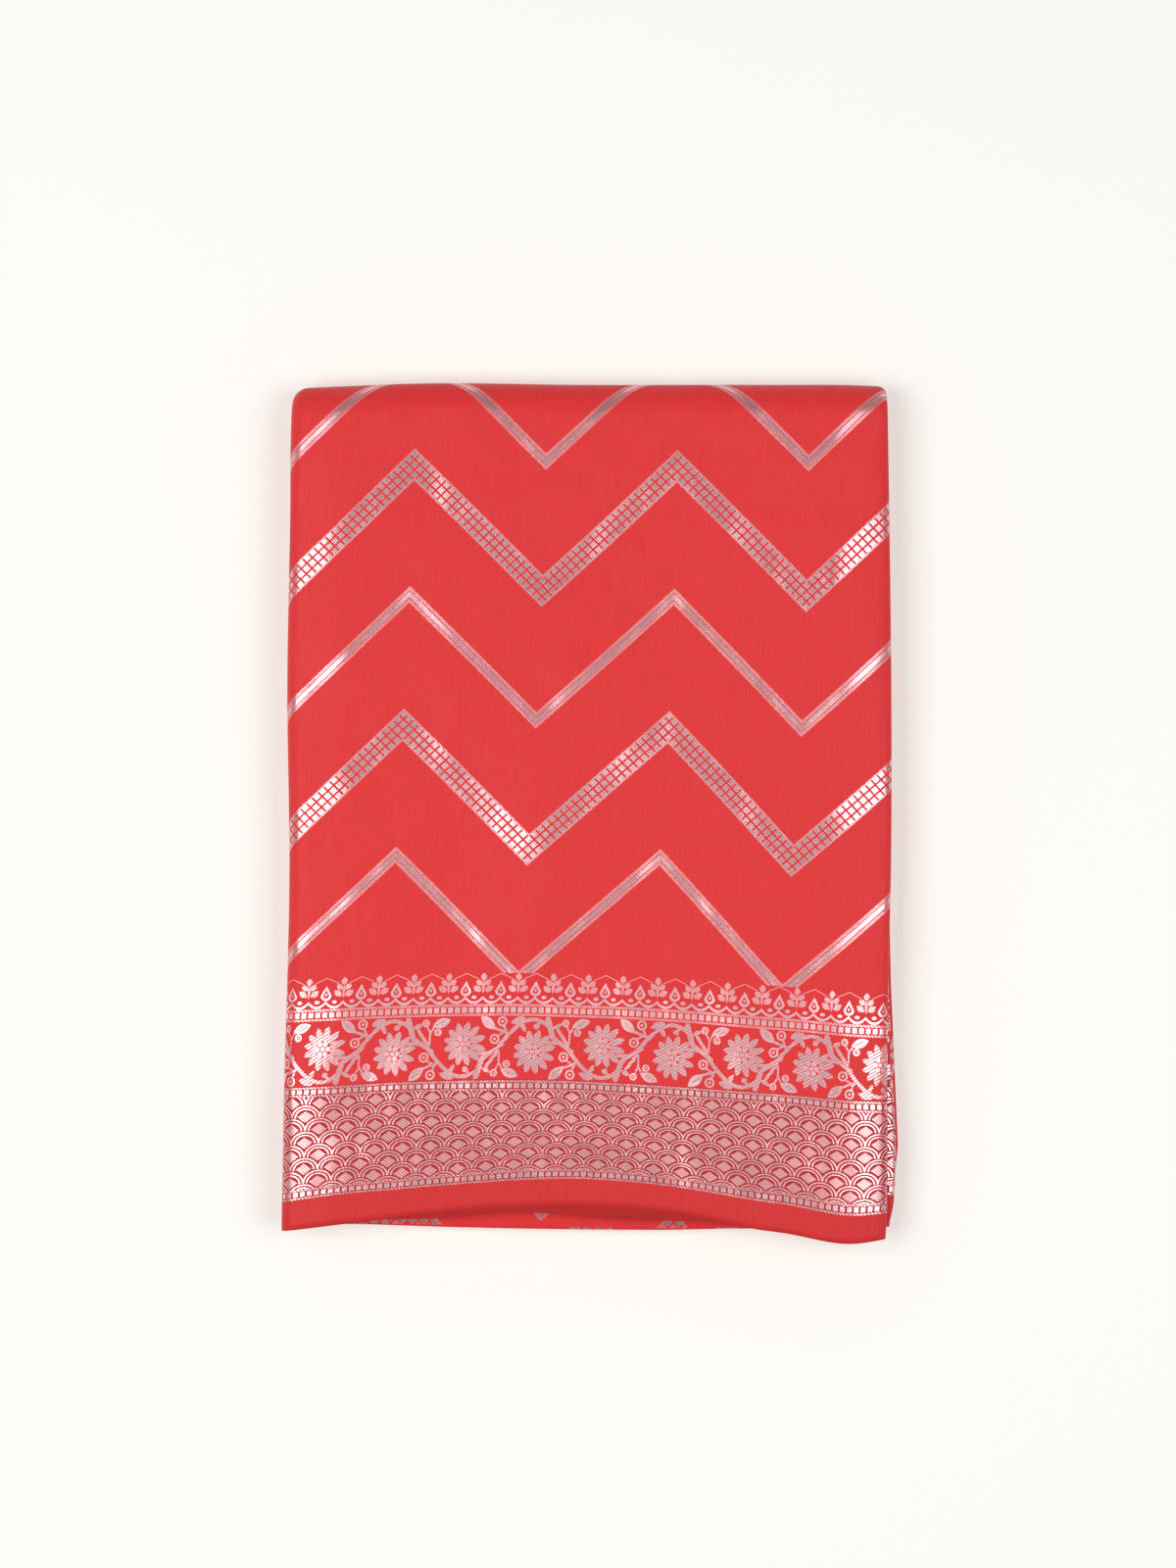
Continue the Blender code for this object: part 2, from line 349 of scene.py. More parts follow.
# Photograph: its height, the cloth's height in it, and the cloth's place beside its middle, in pixels
PHOTO_HEIGHT = 1600.0
PHOTO_CLOTH_HEIGHT = 876.0
PHOTO_CLOTH_ASIDE = 3.0
PHOTO_CLOTH_BELOW = 29.0

# Camera and lights, in metres and radians
CAMERA_HEIGHT = 1.6
CAMERA_SENSOR = 24.0
SOFTBOX_SIDE = 0.9
SOFTBOX_PLACE = {"aside": 0.80, "y": -0.08, "height": 1.40}
SOFTBOX_TILT = 0.50
SOFTBOX_SHARES = {"left": 0.58, "right": 0.42}
FLOOR_HALF = 2.0
FLOOR_BELOW = 1e-6
FLOOR_ROUGHNESS = 0.9
FLOOR_SPECULAR = 0.1

# Room light: its colour, how it turns from the walls to the ceiling, and how it starts at the horizon
ROOM_COLOUR = (1.0, 0.99, 0.97, 1.0)
ROOM_TURN = 0.6
HORIZON_LIGHT = 0.30
HORIZON_RISE = 2.4

# Cells of the cloth's grid
FINE_PANEL_CELLS = 80
PANEL_CELLS = 8
FOLD_CELLS = (4, 4, 5, 5)
FINE_FOLD_CELLS = (4, 4, 9, 10)
TOP_RUN_CELLS = (4, 2, 12, 2, 8, 6, 64)
RUN_CELLS = 10
ROLL_CELLS = 12
PAIR_FOLD_CELLS = 3


class SariClothSettings(PropertyGroup):
    """Sizes and colours of the folded cloth."""

    layer_share: FloatProperty(
        name="Cloth share",
        description="Share of each layer's height that the cloth itself takes up",
        default=0.69,
        min=0.3,
        max=0.9,
    )
    panel_width: FloatProperty(
        name="Panel width",
        description="Flat cloth between two side folds",
        default=0.1975,
        unit="LENGTH",
    )
    panel_length: FloatProperty(
        name="Panel length",
        description="Flat cloth between the roll and the hem",
        default=0.2740,
        unit="LENGTH",
    )
    stack_height: FloatProperty(
        name="Stack height",
        description="Height of the stack before its loft",
        default=0.01998,
        unit="LENGTH",
    )
    silk_colour: FloatVectorProperty(
        name="Silk", description="Red of the silk", default=(0.74, 0.034, 0.036), subtype="COLOR"
    )
    silk_back_colour: FloatVectorProperty(
        name="Silk back", description="Red of the wrong side", default=(0.60, 0.030, 0.033), subtype="COLOR"
    )
    zari_colour: FloatVectorProperty(
        name="Zari", description="Silver of the zari thread", default=(0.77, 0.47, 0.50), subtype="COLOR"
    )
    border_zari_colour: FloatVectorProperty(
        name="Border zari", description="Zari of the border", default=(0.92, 0.61, 0.635), subtype="COLOR"
    )


class SariPatternSettings(PropertyGroup):
    """Repeats of the woven pattern."""

    zigzag_width: FloatProperty(
        name="Zigzag width",
        description="Cloth from peak to peak of a zigzag",
        default=0.0897,
        unit="LENGTH",
    )
    zigzag_rise: FloatProperty(
        name="Zigzag rise",
        description="Cloth from a zigzag's valley up to its peak",
        default=0.0425,
        unit="LENGTH",
    )
    zigzag_repeat: FloatProperty(
        name="Zigzag repeat",
        description="Cloth from one lattice zigzag to the next",
        default=0.08745,
        unit="LENGTH",
    )
    flower_pitch: FloatProperty(
        name="Flower pitch",
        description="Cloth from flower to flower",
        default=0.02367,
        unit="LENGTH",
    )


class SariStageSettings(PropertyGroup):
    """Light and floor around the sari."""

    softbox_power: FloatProperty(
        name="Softbox", description="Power of the two lights above together", default=26.2, subtype="POWER"
    )
    room_light: FloatProperty(
        name="Ceiling light",
        description="Strength of the room light above",
        default=0.10,
        min=0.0,
    )
    wall_light: FloatProperty(
        name="Wall light",
        description="Strength of the room light from the walls",
        default=0.70,
        min=0.0,
    )
    floor_colour: FloatVectorProperty(
        name="Floor", description="Warm white of the floor", default=(0.575, 0.570, 0.545), subtype="COLOR"
    )
    floor_glow: FloatVectorProperty(
        name="Floor glow",
        description="Light that the floor gives off",
        default=(0.40, 0.394, 0.378),
        subtype="COLOR",
    )


def smooth_table(table, column, where):
    """Smooth curve through one column of a table, by its first column.

    Between two rows it is the cubic that has both rows' values and slopes. A row's slope comes from its
    neighbours.
    """
    x = np.array(next(iter(table.values())))
    y = np.array(table[column])
    slope = np.gradient(y, x)
    index = np.clip(np.searchsorted(x, where, side="right") - 1, 0, len(x) - 2)
    width = x[index + 1] - x[index]
    t = np.clip((where - x[index]) / width, 0.0, 1.0)
    start = (1.0 + 2.0 * t) * (1.0 - t) ** 2 * y[index]
    end = t * t * (3.0 - 2.0 * t) * y[index + 1]
    bend = t * (1.0 - t) * width * ((1.0 - t) * slope[index] - t * slope[index + 1])
    return start + end + bend


def fold_over(along, height, line, stack, reach, gap):
    """Fold all that lies past `line` over the top of a stack of the given height.

    The cloth within `reach` of the line makes a half turn about an axis half a gap above the stack.
    The rest comes back over the stack, upside down.
    """
    axis_height = stack + 0.5 * gap
    past = along - line
    turn = math.pi * np.clip(past / reach, 0.0, 1.0)
    radius = axis_height - height
    folded_along = line + np.minimum(past, 0.0) - np.maximum(past - reach, 0.0) + radius * np.sin(turn)
    folded_height = axis_height - radius * np.cos(turn)
    return folded_along, folded_height


class Folding:
    """Heights, reaches and lines of all the folds, worked out from the settings."""

    def __init__(self, cloth):
        layers = 4 * 2**LENGTH_HALVINGS
        pitch = cloth.stack_height / (layers - 1.0 + cloth.layer_share)
        self.thickness = pitch * cloth.layer_share
        self.gap = pitch - self.thickness
        self.panel_width = cloth.panel_width
        self.panel_length = cloth.panel_length
        # heights[i] is the stack that length halving i folds over; the last one is what the roll folds over
        self.heights = [2.0 * self.thickness + self.gap]
        for _ in range(LENGTH_HALVINGS):
            self.heights.append(2.0 * self.heights[-1] + self.gap)
        self.reaches = [0.5 * math.pi * (height + self.gap) for height in self.heights]
        self.pair_reach = 0.5 * math.pi * (self.thickness + self.gap)
        self.roll_reach = self.reaches[-1]
        self.left_radius = self.heights[-2] + 0.5 * self.gap
        self.right_radius = self.heights[-3] + 0.5 * self.gap
        self.roll_radius = self.heights[-1] + 0.5 * self.gap

    def length_stations(self):
        """Grid positions along the cloth's length, and the line of each halving.

        It starts from the outermost panel and undoes the halvings, last one first. Each adds a mirrored
        copy of all the cloth so far, to the left and to the right in turn, with the fold between.
        """
        fine = self.panel_width * np.arange(FINE_PANEL_CELLS + 1) / FINE_PANEL_CELLS
        coarse = self.panel_width * np.arange(PANEL_CELLS + 1) / PANEL_CELLS
        lines = []
        for halving in range(LENGTH_HALVINGS - 1, -1, -1):
            to_left = (LENGTH_HALVINGS - 1 - halving) % 2 == 0
            side = -1.0 if to_left else 1.0
            reach = self.reaches[halving]
            line = (side * coarse).max()
            copy = side * (2.0 * line + reach - side * coarse)
            fine_cells = FINE_FOLD_CELLS[halving]
            coarse_cells = FOLD_CELLS[halving]
            fine_fold = side * (line + reach * np.arange(1, fine_cells) / fine_cells)
            coarse_fold = side * (line + reach * np.arange(1, coarse_cells) / coarse_cells)
            fine = np.sort(np.concatenate([fine, fine_fold, copy]))
            coarse = np.sort(np.concatenate([coarse, coarse_fold, copy]))
            lines.append((halving, side, line))
        return fine, lines[::-1]

    def fold_length(self, length, height, lines):
        """Carry out the length halvings, first one first."""
        for halving, side, line in lines:
            stack = self.heights[halving]
            reach = self.reaches[halving]
            across, height = fold_over(side * length, height, line, stack, reach, self.gap)
            length = side * across
        return length, height


def hem_share(stations, folding):
    """1 on the outermost panel and its folds, fading to 0 on the panels that they lead to."""
    before = np.maximum(-folding.reaches[-2] - stations, 0.0)
    after = np.maximum(stations - folding.panel_width - folding.reaches[-3], 0.0)
    return 1.0 - np.clip((before + after) / (HEM_FADE * folding.panel_width), 0.0, 1.0)


def panel_across(stations, lines, folding):
    """Where each station lies across the stack, 0 at its left and 1 at its right."""
    x, _ = folding.fold_length(stations, np.zeros_like(stations), lines)
    whole = folding.left_radius + folding.panel_width + folding.right_radius
    return np.clip((x + folding.left_radius) / whole, 0.0, 1.0)


def woven_length(stations, folding):
    """Cloth's own length at each station.

    The outer face of a fold is a half circle, which is longer than the fold's reach. Behind the
    outermost panel some cloth is tucked in.
    """
    left_reach = folding.reaches[-2]
    right_reach = folding.reaches[-3]
    left_turn = np.clip(-stations / left_reach, 0.0, 1.0)
    right_turn = np.clip((stations - folding.panel_width) / right_reach, 0.0, 1.0)
    tucked = np.clip((-left_reach - stations) / TUCK_REACH, 0.0, 1.0)
    left_extra = math.pi * folding.left_radius - left_reach
    right_extra = math.pi * folding.right_radius - right_reach
    return stations - left_turn * left_extra + right_turn * right_extra - tucked * TUCK


def run_steps(cells):
    """Even steps from 0 to 1 as a column, without the 0."""
    return (np.arange(1, cells + 1) / cells)[:, None]


def width_path(stations, lines, folding):
    """Distance across the cloth's width at each grid point, and the cloth's own width coordinate there.

    The path runs from selvedge A up the top run, over the roll, down the lower run to the first fold,
    back along the lower run, over the roll again, and down to selvedge B. On the top run of the
    outermost panel, each woven line of the border lies where BORDER_Y has it.
    """
    across = panel_across(stations, lines, folding)
    share = hem_share(stations, folding)
    phase = 2.0 * math.pi * stations / folding.panel_width
    length = folding.panel_length
    roll = folding.roll_reach
    top_edge = smooth_table(TOP_EDGE, "y", across)
    lower_edge = smooth_table(LOWER_EDGE, "y", across)
    # The settling that follows scales y between the lower edge and the top edge, so it is undone here
    scale = (length + folding.roll_radius) / (top_edge - lower_edge)
    under = smooth_table(UNDER_HEM, "past", across)
    inner_past = under - INNER_HEM_BEHIND + INNER_HEM_WAVE * np.sin(INNER_HEM_TURNS * phase)
    downs = []
    for line, column in zip(BORDER_LINES, list(BORDER_Y)[1:]):
        y = smooth_table(BORDER_Y, column, across)
        shaped = -(y - lower_edge) * scale + length
        unshaped = length + inner_past - line
        downs.append(share * shaped + (1.0 - share) * unshaped)
    # Above the border the cloth lies evenly, up to the roll
    inner_part = (BORDER_END - VINE_END) / (length - VINE_END)
    downs.append(downs[-1] * (1.0 - inner_part))
    downs.append(np.zeros_like(downs[0]))
    cloth_lines = BORDER_LINES + (BORDER_END, length)
    rows = [downs[0][None, :]]
    cloth = [np.zeros((1, 1))]
    for step, cells in enumerate(TOP_RUN_CELLS):
        part = run_steps(cells)
        rows.append(downs[step] + (downs[step + 1] - downs[step]) * part)
        cloth.append(cloth_lines[step] + (cloth_lines[step + 1] - cloth_lines[step]) * part)
    top_a = -roll - np.concatenate(rows)
    cloth_a = np.concatenate(cloth)
    lower = length + LOWER_EDGE_WAVE * np.sin(LOWER_EDGE_TURNS * phase)
    upper_b = length + share * under + (1.0 - share) * inner_past
    flat = np.ones_like(lower)
    pair = folding.pair_reach
    widths = [
        top_a,
        -roll * (1.0 - run_steps(ROLL_CELLS)) * flat,
        lower * run_steps(RUN_CELLS),
        lower + pair * run_steps(PAIR_FOLD_CELLS),
        lower + pair + lower * run_steps(RUN_CELLS),
        2.0 * lower + pair + roll * run_steps(ROLL_CELLS),
        2.0 * lower + pair + roll + upper_b * run_steps(RUN_CELLS),
    ]
    # The outer face of the roll is a half circle, longer than the roll's reach
    outer_roll = length + math.pi * folding.roll_radius
    first_fold = FIRST_FOLD_LEFT + across * (FIRST_FOLD_RIGHT - FIRST_FOLD_LEFT)
    inner_roll = length + roll
    cloths = [
        cloth_a * flat,
        length + (outer_roll - length) * run_steps(ROLL_CELLS) * flat,
        outer_roll + (first_fold - outer_roll) * run_steps(RUN_CELLS),
        first_fold + pair * run_steps(PAIR_FOLD_CELLS),
        first_fold + pair + (inner_roll - first_fold - pair) * run_steps(RUN_CELLS),
        (inner_roll - roll * run_steps(ROLL_CELLS)) * flat,
        length * (1.0 - run_steps(RUN_CELLS)) * flat,
    ]
    return np.concatenate(widths), np.concatenate(cloths), lower


def swell(across, along):
    """Share of the full height at each place: the loft of the solid, soft waves, and a dip at the hem."""
    loft = smooth_table(LOFT, "share", across)
    loft = loft * smooth_table(LOFT_ALONG, "share", along)
    inside = np.clip(16.0 * across * (1.0 - across) * along * (1.0 - along), 0.0, 1.0)
    for share, waves_across, waves_along, phase in zip(*SWELLS.values()):
        turn = 2.0 * math.pi * (waves_across * across + waves_along * along) + phase
        loft = loft * (1.0 + share * inside * np.sin(turn))
    near_hem = np.clip(1.0 - along / HEM_DIP_REACH, 0.0, 1.0) ** 2
    return loft * (1.0 - HEM_DIP * near_hem * np.sin(math.pi * np.clip(across, 0.0, 1.0)) ** 2)


def settle(x, y, z, folding, stack):
    """Give the evenly folded stack the outline and the loft of its solid."""
    across = (x + folding.left_radius) / (folding.panel_width + folding.left_radius + folding.right_radius)
    along = (y + folding.panel_length) / (folding.panel_length + folding.roll_radius)
    top_edge = smooth_table(TOP_EDGE, "y", across)
    lower_edge = smooth_table(LOWER_EDGE, "y", across)
    settled_y = lower_edge + along * (top_edge - lower_edge)
    left = smooth_table(SIDES, "left", settled_y)
    right_top = smooth_table(SIDES, "right_top", settled_y)
    right_below = smooth_table(SIDES, "right_below", settled_y)
    below = stack - z > folding.heights[-2] + 0.5 * folding.gap
    right = right_top + below * (right_below - right_top)
    settled_x = left + across * (right - left)
    return settled_x, settled_y, z * swell(across, np.clip(along, 0.0, 1.0))


def top_lift(stations, woven, folding):
    """How far the outermost upper run lies clear of the layer under it, 0 on its folds and its roll."""
    from_side = np.minimum(stations, folding.panel_width - stations)
    side_share = np.clip(from_side / TOP_LIFT_SIDE, 0.0, 1.0)
    roll_share = np.clip((folding.panel_length - woven) / TOP_LIFT_ROLL, 0.0, 1.0)
    upper_run = (np.arange(len(woven)) <= sum(TOP_RUN_CELLS))[:, None]
    return TOP_LIFT * side_share * roll_share * upper_run


def folded_face(depth, folding, stack):
    """Grid of points of one face of the cloth, and its map; `depth` is 0 for its outer face."""
    stations, lines = folding.length_stations()
    width, woven, lower = width_path(stations, lines, folding)
    height = np.full(width.shape, depth)
    length = np.broadcast_to(stations, width.shape)
    width, height = fold_over(width, height, lower, folding.thickness, folding.pair_reach, folding.gap)
    x, height = folding.fold_length(length, height, lines)
    y, z = fold_over(-width, height, 0.0, folding.heights[-1], folding.roll_reach, folding.gap)
    x, y, z = settle(x, y, z, folding, stack)
    z = z + top_lift(stations, woven, folding)
    return np.stack([x, y, z], axis=-1), stations, woven


def bake_places(stations, woven, quads, outer_count, folding):
    """Place of each face's corners on the map that the looks are baked through.

    The outermost panel has the largest block, for its upper run and its roll, and another for its
    underside. The inner layers share a block, and so does the wrong side.
    """
    rows, columns = woven.shape
    row, column = np.divmod(quads % (rows * columns), columns)
    outermost = (stations > -STATION_SLACK * folding.reaches[-2]) & (
        stations < folding.panel_width + STATION_SLACK * folding.reaches[-3])
    first, last = np.flatnonzero(outermost)[[0, -1]]
    roll_end = sum(TOP_RUN_CELLS) + ROLL_CELLS
    run_end = roll_end + RUN_CELLS
    own = (column.min(axis=1) >= first) & (column.max(axis=1) <= last)
    top = own & (row.max(axis=1) <= roll_end)
    underside = own & (row.min(axis=1) >= roll_end) & (row.max(axis=1) <= run_end)
    wrong_side = np.arange(len(quads)) >= outer_count
    block = np.where(wrong_side, 3, np.where(top, 0, np.where(underside, 1, 2)))
    down = woven.mean(axis=1)[row]
    across = (stations[column] - stations[first]) / (stations[last] - stations[first])
    along_top = down / down[row == roll_end].max()
    along_underside = (row - roll_end) / RUN_CELLS
    whole = block[:, None] >= 2
    x = np.where(whole, row / (rows - 1.0), across)
    y = np.where(whole, column / (columns - 1.0), np.where(block[:, None] == 0, along_top, along_underside))
    left, right, low, high = (side[:, None] for side in np.array(list(BAKE_BLOCKS.values()))[block].T)
    return np.stack([left + x * (right - left), low + y * (high - low)], axis=-1).reshape(-1, 2)


def sheet_faces(rows, columns):
    """Quads of a closed sheet: an outer grid, an inner grid, and the rim that joins their edges."""
    index = np.arange(rows * columns).reshape(rows, columns)
    a, b = index[:-1, :-1].ravel(), index[:-1, 1:].ravel()
    c, d = index[1:, 1:].ravel(), index[1:, :-1].ravel()
    inner = rows * columns
    outer_quads = np.stack([a, b, c, d], axis=1)
    inner_quads = np.stack([d, c, b, a], axis=1) + inner
    rim = np.concatenate([index[0, :-1], index[:-1, -1], index[-1, :0:-1], index[:0:-1, 0]])
    following = np.roll(rim, -1)
    rim_quads = np.stack([following, rim, rim + inner, following + inner], axis=1)
    return outer_quads, inner_quads, rim_quads


class Field:
    """A number that varies over the cloth, held by a node's socket, with the usual arithmetic."""

    def __init__(self, tree, socket):
        self.tree = tree
        self.socket = socket

    def made(self, operation, *others, clamp=False):
        """New field from a math node of this field and others."""
        node = self.tree.nodes.new("ShaderNodeMath")
        node.operation = operation
        node.use_clamp = clamp
        for slot, value in zip(node.inputs, (self,) + others):
            if isinstance(value, Field):
                self.tree.links.new(value.socket, slot)
            else:
                slot.default_value = value
        return Field(self.tree, node.outputs[0])

    def __add__(self, other):
        return self.made("ADD", other)

    def __sub__(self, other):
        return self.made("SUBTRACT", other)

    def __mul__(self, other):
        return self.made("MULTIPLY", other)

    def scaled(self, factor, offset):
        """factor times the field plus offset."""
        return self.made("MULTIPLY_ADD", factor, offset)

    def between(self, low, high):
        """low where the field is 0 and high where it is 1, in a straight line."""
        return self.scaled(high - low, low)

    def size(self):
        return self.made("ABSOLUTE")

    def wave(self, half):
        """Distance to the nearest multiple of twice half: a triangle wave from 0 to half."""
        return self.made("PINGPONG", half)

    def within(self, limit, soft=0.10):
        """1 where the field is under limit, 0 above it, with a soft edge."""
        return self.made("MULTIPLY_ADD", -1.0 / soft, limit / soft + 0.5, clamp=True)

    def beyond(self, limit, soft=0.10):
        """1 where the field is over limit, 0 below it, with a soft edge."""
        return self.made("MULTIPLY_ADD", 1.0 / soft, 0.5 - limit / soft, clamp=True)

    def most(self, other):
        return self.made("MAXIMUM", other)


def most_of(fields):
    """The largest of several fields at each place."""
    return functools.reduce(Field.most, fields)


def hypotenuse(a, b):
    """Root of a squared plus b squared."""
    return (b * b + a * a).made("SQRT")


def leaf(x, y, centre, half_length, half_width, degrees):
    """Pointed oval: the distance aside plus the square of the distance along, 1 on its outline."""
    turn = math.radians(degrees)
    dx = x - centre[0]
    dy = y - centre[1]
    along = dx * (math.cos(turn) / half_length) + dy * (math.sin(turn) / half_length)
    aside = dy * (math.cos(turn) / half_width) - dx * (math.sin(turn) / half_width)
    return aside.size() + along * along


def stroke(x, y, start, end):
    """Distance in millimetres from a straight stroke with round ends."""
    reach = math.hypot(end[0] - start[0], end[1] - start[1])
    cosine = (end[0] - start[0]) / reach
    sine = (end[1] - start[1]) / reach
    dx = x - start[0]
    dy = y - start[1]
    along = dx * cosine + dy * sine
    aside = dy * cosine - dx * sine
    outside = along - along.made("MAXIMUM", 0.0).made("MINIMUM", reach)
    return hypotenuse(outside, aside)


def band(field, low, high, soft=0.10):
    """1 where the field is between low and high."""
    return (field - 0.5 * (low + high)).size().within(0.5 * (high - low), soft)


def twill(u, v, pitch, degrees, dark):
    """Diagonal twill lines: 0 on the dark lines and 1 between them."""
    turn = math.radians(degrees)
    across = v * math.cos(turn) - u * math.sin(turn)
    return across.wave(0.5 * pitch).beyond(0.5 * dark * pitch, 0.14)


def ladder(u, v, base, block_pitch):
    """A ladder: a line of twill, a row of square blocks and another line of twill."""
    up = v - base
    slope, half, dark_half = LADDER_TWILL.values()
    lean = (u * slope + v).wave(half).beyond(dark_half, 0.12)
    lower_line, row, upper_line = (band(up, low, high) for low, high in zip(*LADDER.values()))
    lines = lower_line.most(upper_line) * lean
    blocks = row * u.wave(0.5 * block_pitch).within(LADDER_BLOCK_HALF * block_pitch)
    return lines.most(blocks)


def speckle(u, v):
    """Broken zari threads: 1 where two slanting waves of unlike pitch add up to much, 0 elsewhere."""
    first, second = (
        (u * along_u + v * along_v).wave(half) for along_u, along_v, half in zip(*BROKEN_WAVES.values())
    )
    return (first + second).beyond(BROKEN_LIMIT, 0.2)


def woven_map(tree):
    """Cloth coordinates in millimetres: along the cloth's length, and from the selvedge."""
    node = tree.nodes.new("ShaderNodeUVMap")
    node.uv_map = "Weave"
    split = tree.nodes.new("ShaderNodeSeparateXYZ")
    tree.links.new(node.outputs["UV"], split.inputs[0])
    return Field(tree, split.outputs[0]) * MM, Field(tree, split.outputs[1]) * MM


def zigzag_mask(u, v, pattern):
    """Zari of the body: lattice zigzags and lined zigzags in turn.

    Height above a zigzag is v plus the slope times the distance from the nearest peak, wrapped at the
    repeat. The lattice cells are squares of that height and of the same height taken down the other
    slope, so their sides run along both arms.
    """
    half = 0.5 * pattern.zigzag_width * MM
    rise = pattern.zigzag_rise * MM
    repeat = pattern.zigzag_repeat * MM
    slope = rise / half
    cosine = 1.0 / math.hypot(1.0, slope)
    from_peak = (u - ZIGZAG_PEAK_U).wave(half)
    drop = from_peak * slope
    height = (v - (LATTICE_V + 0.5 * rise)) + drop
    above = height.made("WRAP", 0.5 * repeat, -0.5 * repeat)
    far = above.size()
    cell = rise / CELLS_IN_RISE
    other = above - drop * 2.0
    squares = above.wave(0.5 * cell).within(SQUARE_HALF * cell)
    squares = squares * other.wave(0.5 * cell).within(SQUARE_HALF * cell)
    broken = speckle(u, v).between(*BROKEN_SHOWS)
    lattice = squares * far.within(LATTICE_HALF * cell)
    lattice = lattice.most(band(far, LATTICE_RIM[0] * cell, LATTICE_RIM[1] * cell) * broken)
    beside = (far * -1.0 + 0.5 * repeat) * cosine
    stripe = beside.within(LINE_HALF)
    fringe = band(beside, FRINGE[0], FRINGE[1], 0.25) * broken
    # The lattice zigzag that would run into the border is left out
    lattice = lattice * v.beyond(LATTICE_V - 0.5 * repeat)
    return lattice.most(stripe).most(fringe), None


def lozenge(aside, up):
    """Lozenge in a fish scale: its distances across and up, as shares of its half sizes, add up to 1."""
    across = aside * (1.0 / LOZENGE["half_width"])
    return (across + (up - LOZENGE["middle"]).size() * (1.0 / LOZENGE["half_height"])).within(1.0, 0.10)


def scales_mask(u, v, pattern):
    """Zari of the border's outer part: a ladder, rows of fish scales in half drop, and a ladder.

    A scale is an arch of two concentric lines over a lozenge. Inside the arch of the row below a point,
    its distance from that arch's centre tells the line. Outside, the scale of the row above shows, down
    to a red line round the lower arch. The ground between is shaded, as it is woven dense.
    """
    half = 0.5 * pattern.flower_pitch * MM / SCALES_TO_FLOWER
    rise = SCALE_RISE * half
    row = SCALE_ROW
    level = (v - (SCALES_END * MM - SCALE_TOP)) * (1.0 / row)
    number = level.made("FLOOR")
    up = (level - number) * row
    aside = (u - FLOWER_U + number.made("PINGPONG", 1.0) * half).wave(half) * (1.0 / half)
    across = aside * -1.0 + 1.0
    lower_up = up * (1.0 / rise)
    upper_up = (up - row) * (1.0 / rise)
    lower = hypotenuse(aside, lower_up)
    upper = hypotenuse(across, upper_up)
    threads = twill(u, v, **SCALE_TWILL).between(*SCALE_SHOWS)
    lower_lozenge = lozenge(aside, lower_up) * threads
    upper_lozenge = lozenge(across, upper_up) * threads
    lower_arch, upper_arch = (
        band(radius, *SCALE_INNER_ARCH, SCALE_SOFT).most(radius.beyond(SCALE_OUTER_ARCH[0], SCALE_SOFT))
        for radius in (lower, upper)
    )
    outer = upper_arch.most(upper_lozenge) * lower.beyond(SCALE_RED_LINE_END, SCALE_SOFT)
    outer = outer.most(lower.within(SCALE_OUTER_ARCH[1], SCALE_SOFT))
    scales = outer + (lower_arch.most(lower_lozenge) - outer) * lower.within(1.0, 0.02)
    scales = scales * band(v, LOWER_LADDER_END * MM + BAND_INSET, SCALES_END * MM - BAND_INSET)
    block = pattern.flower_pitch * MM / BLOCKS_TO_FLOWER
    ladders = ladder(u, v, SELVEDGE_END * MM, block).most(ladder(u, v, SCALES_END * MM, block))
    return scales.most(ladders), v.beyond(SELVEDGE_END * MM, 0.5).between(*SCALE_SHADE)


def flower(x, y):
    """A flower over a sprout and a bud, and its heart of dots.

    A petal is a blunt oval about its own ray. The right-hand petals are a little longer.
    """
    radius = hypotenuse(x, y)
    angle = y.made("ARCTAN2", x)
    near = radius - x * PETAL_LEAN
    aside = radius * (angle - math.radians(PETALS["first_degrees"])).wave(math.pi / PETALS["count"])
    along = (near - PETALS["middle"]) * (1.0 / PETALS["half_length"])
    blunt = along.size().made("POWER", PETAL_BLUNTNESS)
    petals = (aside * (1.0 / PETALS["half_width"]) + blunt).within(1.0, LEAF_SOFT)
    sprout = leaf(x, y, **SPROUT).within(1.0, LEAF_SOFT)
    bud = hypotenuse(x - BUD["centre"][0], y - BUD["centre"][1]).within(BUD["radius"])
    stalk = stroke(x, y, STALK["start"], STALK["end"]).within(STALK["half_width"])
    petals = most_of([petals, sprout, bud, stalk])
    # Square of the distance to the nearest dot of the ring, by the cosine rule
    turn = angle.wave(math.pi / DOTS["count"]).made("COSINE")
    to_dot = radius * radius - turn * radius * (2.0 * DOTS["ring"]) + DOTS["ring"] ** 2
    dots = to_dot.within(DOTS["radius_squared"], 0.22).most(radius.within(DOTS["middle"]))
    return petals, dots


